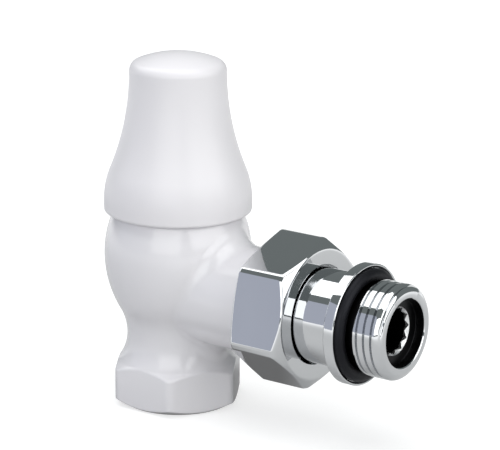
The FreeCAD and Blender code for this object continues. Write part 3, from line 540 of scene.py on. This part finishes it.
def add_nut_thread(shape):
    """The nut's thread, whose ridges lie in the union's grooves, and the step at its end."""
    x = np.linspace(NUT_BACK, NUT_THREAD_END, 130)[:, None]
    t = around(180)
    fade = np.clip((NUT_THREAD_END - x) / NUT_RUNOUT, 0, 1) * np.clip((x - NUT_BACK) / NUT_LEAD, 0, 1)
    hollow = np.maximum(NUT_THREAD_R, NUT_MOUTH - (x - NUT_BACK))
    shape.grid(on_outlet(hollow - NUT_RIDGE * fade * groove_share(x, t), x, t))
    shape.grid(lathe_x([(NUT_THREAD_R, NUT_THREAD_END), (NUT_BORE, NUT_THREAD_END)], count=180))


def make_nut():
    shape = Shape()
    add_nut_outside(shape)
    add_nut_thread(shape)
    take_over(shape.build("union_nut_look", sharp=40), "union_nut", "union_nut", "chrome")


# Tailpiece and its O-ring

def helix_rows():
    """Place, radius and angle of the tail thread's points, on a grid that runs along its grooves."""
    t = np.linspace(0, TURN, 361)
    first_turn = math.floor((THREAD_START - HELIX_START) / PIPE_PITCH) - 2
    last_turn = math.ceil((TAIL_END - HELIX_START) / PIPE_PITCH)
    s = (np.arange(first_turn, last_turn + 1)[:, None] + np.array(HELIX_COLUMNS)).reshape(-1)
    x = HELIX_START + PIPE_PITCH * (s[:, None] + t / TURN)
    dip = np.clip((GROOVE_HALF - np.abs((s + 0.5) % 1.0 - 0.5)) / GROOVE_FLANK, 0, 1)
    return np.clip(x, THREAD_START, TAIL_END), (TAIL_CREST - TAIL_GROOVE * dip)[:, None] + 0 * x, t


def add_tail_outside(shape):
    """From the spigot's end to the thread's relief."""
    outside = soften([
        (TAIL_BORE, TAIL_START), (SPIGOT_R, TAIL_START, 0.2),
        (SPIGOT_R, SEAL_FROM), (SEAL_FLOOR, SEAL_FROM), (SEAL_FLOOR, SEAL_TO), (SPIGOT_R, SEAL_TO),
        (SPIGOT_R, SPIGOT_END), (NECK_R, SPIGOT_END),
        (NECK_R, SNAP_FROM), (SNAP_FLOOR, SNAP_FROM), (SNAP_FLOOR, SNAP_TO), (NECK_R, SNAP_TO),
        (NECK_R, FLANGE_BACK, 0.25),
        (FLANGE_R - BACK_BEVEL, FLANGE_BACK, 0.15), (FLANGE_R, FLANGE_BACK + BACK_BEVEL, 0.2),
        (FLANGE_R, FLANGE_FACE - FACE_BEVEL, 0.1), (FLANGE_R - FACE_BEVEL, FLANGE_FACE, 0.1),
        (LIP_R, FLANGE_FACE, 0.08), (RECESS_R, FLANGE_FACE - LIP_BEVEL, 0.05),
        (RECESS_R, RECESS_FLOOR), (RELIEF_R, RECESS_FLOOR), (RELIEF_R, THREAD_START),
    ], steps=6)
    shape.grid(lathe_x(outside, count=360)[:, ::-1])


def add_tail_thread(shape):
    """The thread, which rises from the relief and ends in two bevels."""
    x, r, t = helix_rows()
    from_start, from_end = x - THREAD_START, TAIL_END - x
    limits = [RELIEF_R + THREAD_RISE * from_start]
    limits += [radius + rise * from_end for radius, rise in (END_STEEP, END_SHALLOW)]
    r = smooth_min(r, np.minimum.reduce(limits), THREAD_SOFT)
    r = np.where(from_start < SAME, RELIEF_R, r)
    r = np.where(from_end < SAME, END_FACE_R, r)
    shape.grid(on_outlet(r, x, t)[:, ::-1], closed=False)


def add_key_socket(shape):
    """End face, mouth, the twelve-point key socket with its lead-in, and the bore behind it."""
    face = soften([
        (END_FACE_R, TAIL_END), (MOUTH_R + MOUTH_BEVEL, TAIL_END, 0.12),
        (MOUTH_R, TAIL_END - MOUTH_BEVEL, 0.1), (MOUTH_R, MOUTH_END, 0.1), (KEY_LEAD_R, KEY_FACE),
    ], steps=5)
    shape.grid(lathe_x(face, count=360)[:, ::-1])
    t = around(360)
    hexes = [KEY_HALF / np.cos((t + shift) % (TURN / 6) - TURN / 12) for shift in (0.0, TURN / 12)]
    star = np.maximum(*hexes)
    rows = []
    for x in np.linspace(KEY_FACE, KEY_END, 41):
        lead_in = KEY_LEAD_R - (KEY_FACE - x) * KEY_LEAD_SLOPE
        rows.append(on_outlet(np.maximum(star, lead_in), x, t))
    rows += [on_outlet(TAIL_BORE, x, t) for x in (KEY_END, TAIL_START)]
    shape.grid(np.array(rows)[:, ::-1])


def make_tail():
    shape = Shape()
    add_tail_outside(shape)
    add_tail_thread(shape)
    add_key_socket(shape)
    take_over(shape.build("tailpiece_look", sharp=38), "tailpiece", "tail", "chrome")


def make_ring():
    shape = Shape()
    s = np.append(around(48), TURN)[:, None]
    shape.grid(on_outlet(RING_MEAN + RING_HALF * np.cos(s), RING_X + RING_HALF * np.sin(s), around(256)))
    take_over(shape.build("tailpiece_o_ring_look", sharp=60), "tailpiece_o_ring", "tail", "black_rubber")


# Finishes

class Nodes:
    """A material and the means to add nodes to it."""

    def __init__(self, name):
        self.material = bpy.data.materials.new(name)
        self.material.use_nodes = True
        self.tree = self.material.node_tree

    def node(self, kind, **values):
        made = self.tree.nodes.new(kind)
        for name, value in values.items():
            setattr(made, name, value)
        return made

    def feed(self, value, into):
        """Puts another node's output, a number or a colour into a socket."""
        if isinstance(value, bpy.types.NodeSocket):
            self.tree.links.new(value, into)
        else:
            into.default_value = value

    def combine(self, operation, first, second):
        made = self.node("ShaderNodeMath", operation=operation)
        self.feed(first, made.inputs[0])
        self.feed(second, made.inputs[1])
        return made.outputs["Value"]

    def spread(self, value, low, high, near=0.0, far=1.0, kind="LINEAR"):
        """Runs from low to high while the value runs from near to far."""
        made = self.node("ShaderNodeMapRange", interpolation_type=kind)
        for name, number in (("From Min", near), ("From Max", far), ("To Min", low), ("To Max", high)):
            made.inputs[name].default_value = number
        self.feed(value, made.inputs["Value"])
        return made.outputs["Result"]

    def length(self, vector):
        made = self.node("ShaderNodeVectorMath", operation="LENGTH")
        self.feed(vector, made.inputs[0])
        return made.outputs["Value"]

    def surface(self, shader):
        self.feed(shader, self.node("ShaderNodeOutputMaterial").inputs["Surface"])


class Finish(Nodes):
    """A material for the valve, round one general shader."""

    def __init__(self, name):
        super().__init__(name)
        self.shader = self.tree.nodes["Principled BSDF"]
        self.place = self.node("ShaderNodeTexCoord").outputs["Object"]

    def put(self, name, value):
        self.feed(value, self.shader.inputs[name])

    def noise(self, scale, detail, stretch=None):
        place = self.place
        if stretch is not None:
            mapping = self.node("ShaderNodeMapping")
            mapping.inputs["Scale"].default_value = stretch
            self.feed(place, mapping.inputs["Vector"])
            place = mapping.outputs["Vector"]
        noise = self.node("ShaderNodeTexNoise")
        noise.inputs["Scale"].default_value = scale
        noise.inputs["Detail"].default_value = detail
        self.feed(place, noise.inputs["Vector"])
        return noise.outputs["Fac"]

    def ramp(self, fac, low, high):
        ramp = self.node("ShaderNodeValToRGB")
        for stop, position, colour in zip(ramp.color_ramp.elements, (0.3, 0.7), (low, high)):
            stop.position = position
            stop.color = (*colour, 1)
        self.feed(fac, ramp.inputs["Fac"])
        return ramp.outputs["Color"]

    def coordinates(self):
        split = self.node("ShaderNodeSeparateXYZ")
        self.feed(self.place, split.inputs["Vector"])
        return [split.outputs[axis] for axis in "XYZ"]

    def distance(self, first, second):
        """Distance from an axis, from the two coordinates across it."""
        pair = self.node("ShaderNodeCombineXYZ")
        self.feed(first, pair.inputs["X"])
        self.feed(second, pair.inputs["Y"])
        return self.length(pair.outputs["Vector"])

    def mix(self, share, first, second):
        """Colour between two others; the second may be written as numbers."""
        made = self.node("ShaderNodeMix", data_type="RGBA")
        self.feed(share, made.inputs["Factor"])
        self.feed(first, made.inputs[6])
        self.feed((*second, 1) if isinstance(second, tuple) else second, made.inputs[7])
        return made.outputs[2]

    def bump(self, height, strength, distance):
        bump = self.node("ShaderNodeBump")
        bump.inputs["Strength"].default_value = strength
        bump.inputs["Distance"].default_value = distance
        self.feed(height, bump.inputs["Height"])
        self.put("Normal", bump.outputs["Normal"])


def gloss_white(name, low, high, rough, coat, peel):
    """Smooth white coat with a faint orange peel and barely uneven tone and gloss."""
    f = Finish(name)
    f.put("Base Color", f.ramp(f.noise(scale=35.0, detail=3.0), low, high))
    f.put("Roughness", f.spread(f.noise(scale=160.0, detail=4.0), rough * 0.85, rough * 1.2))
    f.bump(f.noise(scale=420.0, detail=2.0), strength=peel, distance=0.0002)
    f.put("IOR", 1.5)
    f.put("Coat Weight", coat)
    f.put("Coat Roughness", 0.05)
    return f


def coated_forging(name, coat, **values):
    """White enamel that leaves the cut threads of the union and the inlet in unpainted brass."""
    f = gloss_white(name, coat=coat, **values)
    x, y, z = f.coordinates()
    from_outlet = f.distance(y, f.combine("SUBTRACT", z, AXIS_Z * MM))
    union = f.combine("MULTIPLY", f.combine("GREATER_THAN", x, (UNION_START - UNION_PAST) * MM),
                      f.combine("LESS_THAN", from_outlet, (UNION_R + UNION_OVER) * MM))
    inlet = f.combine("MULTIPLY", f.combine("LESS_THAN", z, (WATERWAY[1] + CONE_PAST) * MM),
                      f.combine("LESS_THAN", f.distance(x, y), (INLET_R + INLET_OVER) * MM))
    bare_metal_and_painted_shade = f.combine("MAXIMUM", union, inlet)
    metal = f.ramp(f.noise(scale=300.0, detail=4.0), (0.55, 0.4, 0.17), (0.68, 0.52, 0.25))
    enamel = f.shader.inputs["Base Color"].links[0].from_socket
    f.put("Base Color", f.mix(bare_metal_and_painted_shade, enamel, metal))
    f.put("Metallic", bare_metal_and_painted_shade)
    f.put("Coat Weight", f.combine("MULTIPLY", f.combine("SUBTRACT", 1.0, bare_metal_and_painted_shade), coat))
    return f


def polished_chrome(name):
    """Bright plating over fine polishing marks, with painted shade inside the mouth's bore and in the
    relief behind the tail thread, and a painted highlight on the key socket's lead-in.
    """
    f = Finish(name)
    x, y, z = f.coordinates()
    away = f.distance(y, f.combine("SUBTRACT", z, AXIS_Z * MM))

    def zone(radius, first, last):
        length = f.combine("MULTIPLY", f.combine("GREATER_THAN", x, first * MM),
                           f.combine("LESS_THAN", x, last * MM))
        return f.combine("MULTIPLY", length, f.combine("LESS_THAN", away, radius * MM))

    # The lead-in's teeth get a painted highlight: a near-white base colour over the plate
    lead_in = zone(*LEAD_ZONE)
    bore = f.combine("MULTIPLY", f.combine("LESS_THAN", away, BORE_ZONE_R * MM),
                     f.combine("SUBTRACT", 1.0, lead_in))
    # Painted shade: the bore and the relief behind the tail thread get a near-black base colour
    painted_shade = f.combine("MAXIMUM", bore, zone(*RELIEF_ZONE))
    plate = f.ramp(f.noise(scale=60.0, detail=3.0), (0.65, 0.66, 0.675), (0.68, 0.69, 0.7))
    # Near-black colour of the painted shade
    bare_metal_and_painted_shade = f.ramp(f.noise(scale=220.0, detail=4.0), (0.012, 0.012, 0.013), (0.03, 0.03, 0.032))
    dull = f.combine("ADD", f.combine("MULTIPLY", painted_shade, 0.25), f.combine("MULTIPLY", lead_in, 0.3))
    marks = f.spread(f.noise(scale=900.0, detail=3.0), 0.02, 0.05)
    f.put("Metallic", 1.0)
    # Painted highlight on the lead-in over the painted shade of the bore and relief, over the plate
    f.put("Base Color", f.mix(lead_in, f.mix(painted_shade, plate, bare_metal_and_painted_shade), (0.95, 0.955, 0.96)))
    f.put("Roughness", f.combine("ADD", marks, dull))
    f.bump(f.noise(scale=700.0, detail=2.0), strength=0.012, distance=0.0001)
    return f


def turned_metal(name, low, high, rough):
    """Machined metal with fine rings along its turning."""
    f = Finish(name)
    rings = f.noise(scale=500.0, detail=2.0, stretch=(1, 1, 14))
    f.put("Metallic", 1.0)
    f.put("Base Color", f.ramp(f.noise(scale=90.0, detail=4.0), low, high))
    f.put("Roughness", f.spread(rings, rough * 0.7, rough * 1.4))
    f.bump(rings, strength=0.12, distance=0.0001)
    return f


def dull_rubber(name):
    """Black rubber with a fine grain and a weak, bluish sheen."""
    f = Finish(name)
    grain = f.noise(scale=300.0, detail=4.0)
    f.put("Base Color", f.ramp(grain, (0.003, 0.003, 0.004), (0.006, 0.006, 0.0075)))
    f.put("Roughness", f.spread(f.noise(scale=500.0, detail=3.0), 0.38, 0.5))
    f.bump(f.noise(scale=1500.0, detail=3.0), strength=0.08, distance=0.0001)
    f.put("Specular IOR Level", 0.22)
    f.put("Specular Tint", (0.85, 0.88, 1.0, 1.0))
    return f


FINISHES = {
    "white_enamel": coated_forging("white_enamel", low=(0.765, 0.75, 0.775), high=(0.79, 0.775, 0.8),
                                   rough=0.19, coat=0.35, peel=0.05),
    "white_plastic": gloss_white("white_plastic", low=(0.76, 0.742, 0.765), high=(0.78, 0.762, 0.785),
                                 rough=0.36, coat=0.08, peel=0.03),
    "chrome": polished_chrome("chrome"),
    "brass": turned_metal("brass", low=(0.6, 0.43, 0.18), high=(0.74, 0.56, 0.27), rough=0.25),
    "steel": turned_metal("steel", low=(0.5, 0.51, 0.52), high=(0.6, 0.61, 0.62), rough=0.3),
    "black_rubber": dull_rubber("black_rubber"),
}


def paint(thing, slot):
    thing.data.materials.clear()
    thing.data.materials.append(FINISHES[slot].material)


slots = {entry["node"]: entry["material_slot"] for entry in frame["record"]["subparts"]}
for node, thing in frame["nodes"].items():
    paint(thing, slots[node])
make_handwheel()
make_body()
make_nut()
make_tail()
make_ring()


# Studio

def facing(centre, look_at, axis):
    """Placement at a centre, with one axis turned towards a point."""
    aim = Vector(look_at) - Vector(centre)
    return Matrix.Translation(centre) @ aim.to_track_quat(axis, "Y").to_matrix().to_4x4()


def flat_emitter(name, colour):
    f = Nodes(name)
    f.tree.nodes.clear()
    glow = f.node("ShaderNodeEmission")
    glow.inputs["Color"].default_value = (*colour, 1)
    glow.inputs["Strength"].default_value = 1.0
    f.surface(glow.outputs["Emission"])
    return f.material


def card(name, centre, look_at, width, height, colour):
    """A flat glowing card that faces a point."""
    mesh = bpy.data.meshes.new(name)
    w, h = width / 2, height / 2
    mesh.from_pydata([(-w, -h, 0), (w, -h, 0), (w, h, 0), (-w, h, 0)], [], [(0, 1, 2, 3)])
    mesh.materials.append(flat_emitter(name, colour))
    thing = add_object(name, mesh)
    thing.matrix_world = facing(centre, look_at, "Z")


def area_lamp(name, centre, look_at, width, height, radiance):
    lamp = bpy.data.lights.new(name, "AREA")
    lamp.shape = "RECTANGLE"
    lamp.size, lamp.size_y = width, height
    lamp.energy = radiance * width * height * math.pi
    add_object(name, lamp).matrix_world = facing(centre, look_at, "-Z")


def floor_material():
    """Pale floor, white to the camera; the metal sees it with a painted shadow beneath the valve and
    white farther off.
    """
    f = Nodes("floor")
    f.tree.nodes.clear()
    path = f.node("ShaderNodeLightPath").outputs
    mirrored = f.combine("MAXIMUM", path["Is Glossy Ray"], path["Is Transmission Ray"])
    distance = f.length(f.node("ShaderNodeTexCoord").outputs["Object"])

    def fade(near, far, low, high):
        return f.spread(distance, low, high, near, far, "SMOOTHSTEP")

    seen = f.combine("MULTIPLY", path["Is Camera Ray"], fade(*FADE_SEEN))
    shown = f.combine("MULTIPLY", mirrored, fade(*FADE_MIRRORED))
    # Painted shadow: the floor's colour is lowered beneath the valve for reflected rays only
    painted_shadow = f.combine("MULTIPLY", mirrored, fade(*FADE_PAINTED_SHADOW))
    glow = f.node("ShaderNodeEmission")
    f.feed(f.combine("ADD", seen, shown), glow.inputs["Strength"])
    plain = f.node("ShaderNodeBsdfDiffuse")
    f.feed(f.combine("SUBTRACT", FLOOR_TONE, painted_shadow), plain.inputs["Color"])
    both = f.node("ShaderNodeAddShader")
    f.feed(glow.outputs["Emission"], both.inputs[0])
    f.feed(plain.outputs["BSDF"], both.inputs[1])
    f.surface(both.outputs["Shader"])
    return f.material


def make_floor():
    mesh = bpy.data.meshes.new("floor")
    edge = [(FLOOR_R * math.cos(a), FLOOR_R * math.sin(a), -FLOOR_DROP) for a in around(FLOOR_CORNERS)]
    mesh.from_pydata(edge, [], [list(range(FLOOR_CORNERS))])
    mesh.materials.append(floor_material())
    add_object("floor", mesh)


scene = bpy.context.scene
scene.view_settings.view_transform = "Standard"
world = bpy.data.worlds.new("studio")
scene.world = world
world.use_nodes = True
world.node_tree.nodes["Background"].inputs["Color"].default_value = (*WORLD_TONE, 1)
world.node_tree.nodes["Background"].inputs["Strength"].default_value = 1.0

make_floor()
area_lamp("top_box", centre=(-0.2, -0.035, 0.52), look_at=(-0.2, -0.035, 0.0),
          width=1.1, height=0.43, radiance=1.95)
area_lamp("right_box", centre=(1.0, 0.0, 0.5), look_at=MIDDLE, width=1.3, height=0.7, radiance=2.15)
area_lamp("fill_box", centre=(0.3, -1.1, 0.45), look_at=MIDDLE, width=1.2, height=0.8, radiance=2.0)
card("front_card", centre=(-0.42, -0.52, 0.265), look_at=(0.0, 0.0, 0.265),
     width=0.9, height=0.61, colour=CARD_TONE)


# Camera

def make_camera():
    azimuth, elevation, roll = (math.radians(a) for a in (AZIMUTH, ELEVATION, ROLL))
    right = Vector((math.cos(azimuth), math.sin(azimuth), 0))
    level = Vector((math.sin(azimuth), -math.cos(azimuth), 0))
    back = level * math.cos(elevation) + Vector((0, 0, math.sin(elevation)))
    up = back.cross(right)
    target = Vector((0, 0, AIM_HEIGHT)) + right * AIM_RIGHT + up * AIM_UP
    place = target + back * CAMERA_FAR
    turned_right = right * math.cos(roll) + up * math.sin(roll)
    turned_up = up * math.cos(roll) - right * math.sin(roll)
    camera = bpy.data.cameras.new("camera")
    camera.sensor_width = SENSOR
    camera.lens = LENS
    camera.clip_start, camera.clip_end = CLIP
    thing = add_object("camera", camera)
    rows = [(*axes, 0.0) for axes in (turned_right, turned_up, back)] + [(*place, 1.0)]
    thing.matrix_world = Matrix(rows).transposed()
    return thing


scene.camera = make_camera()
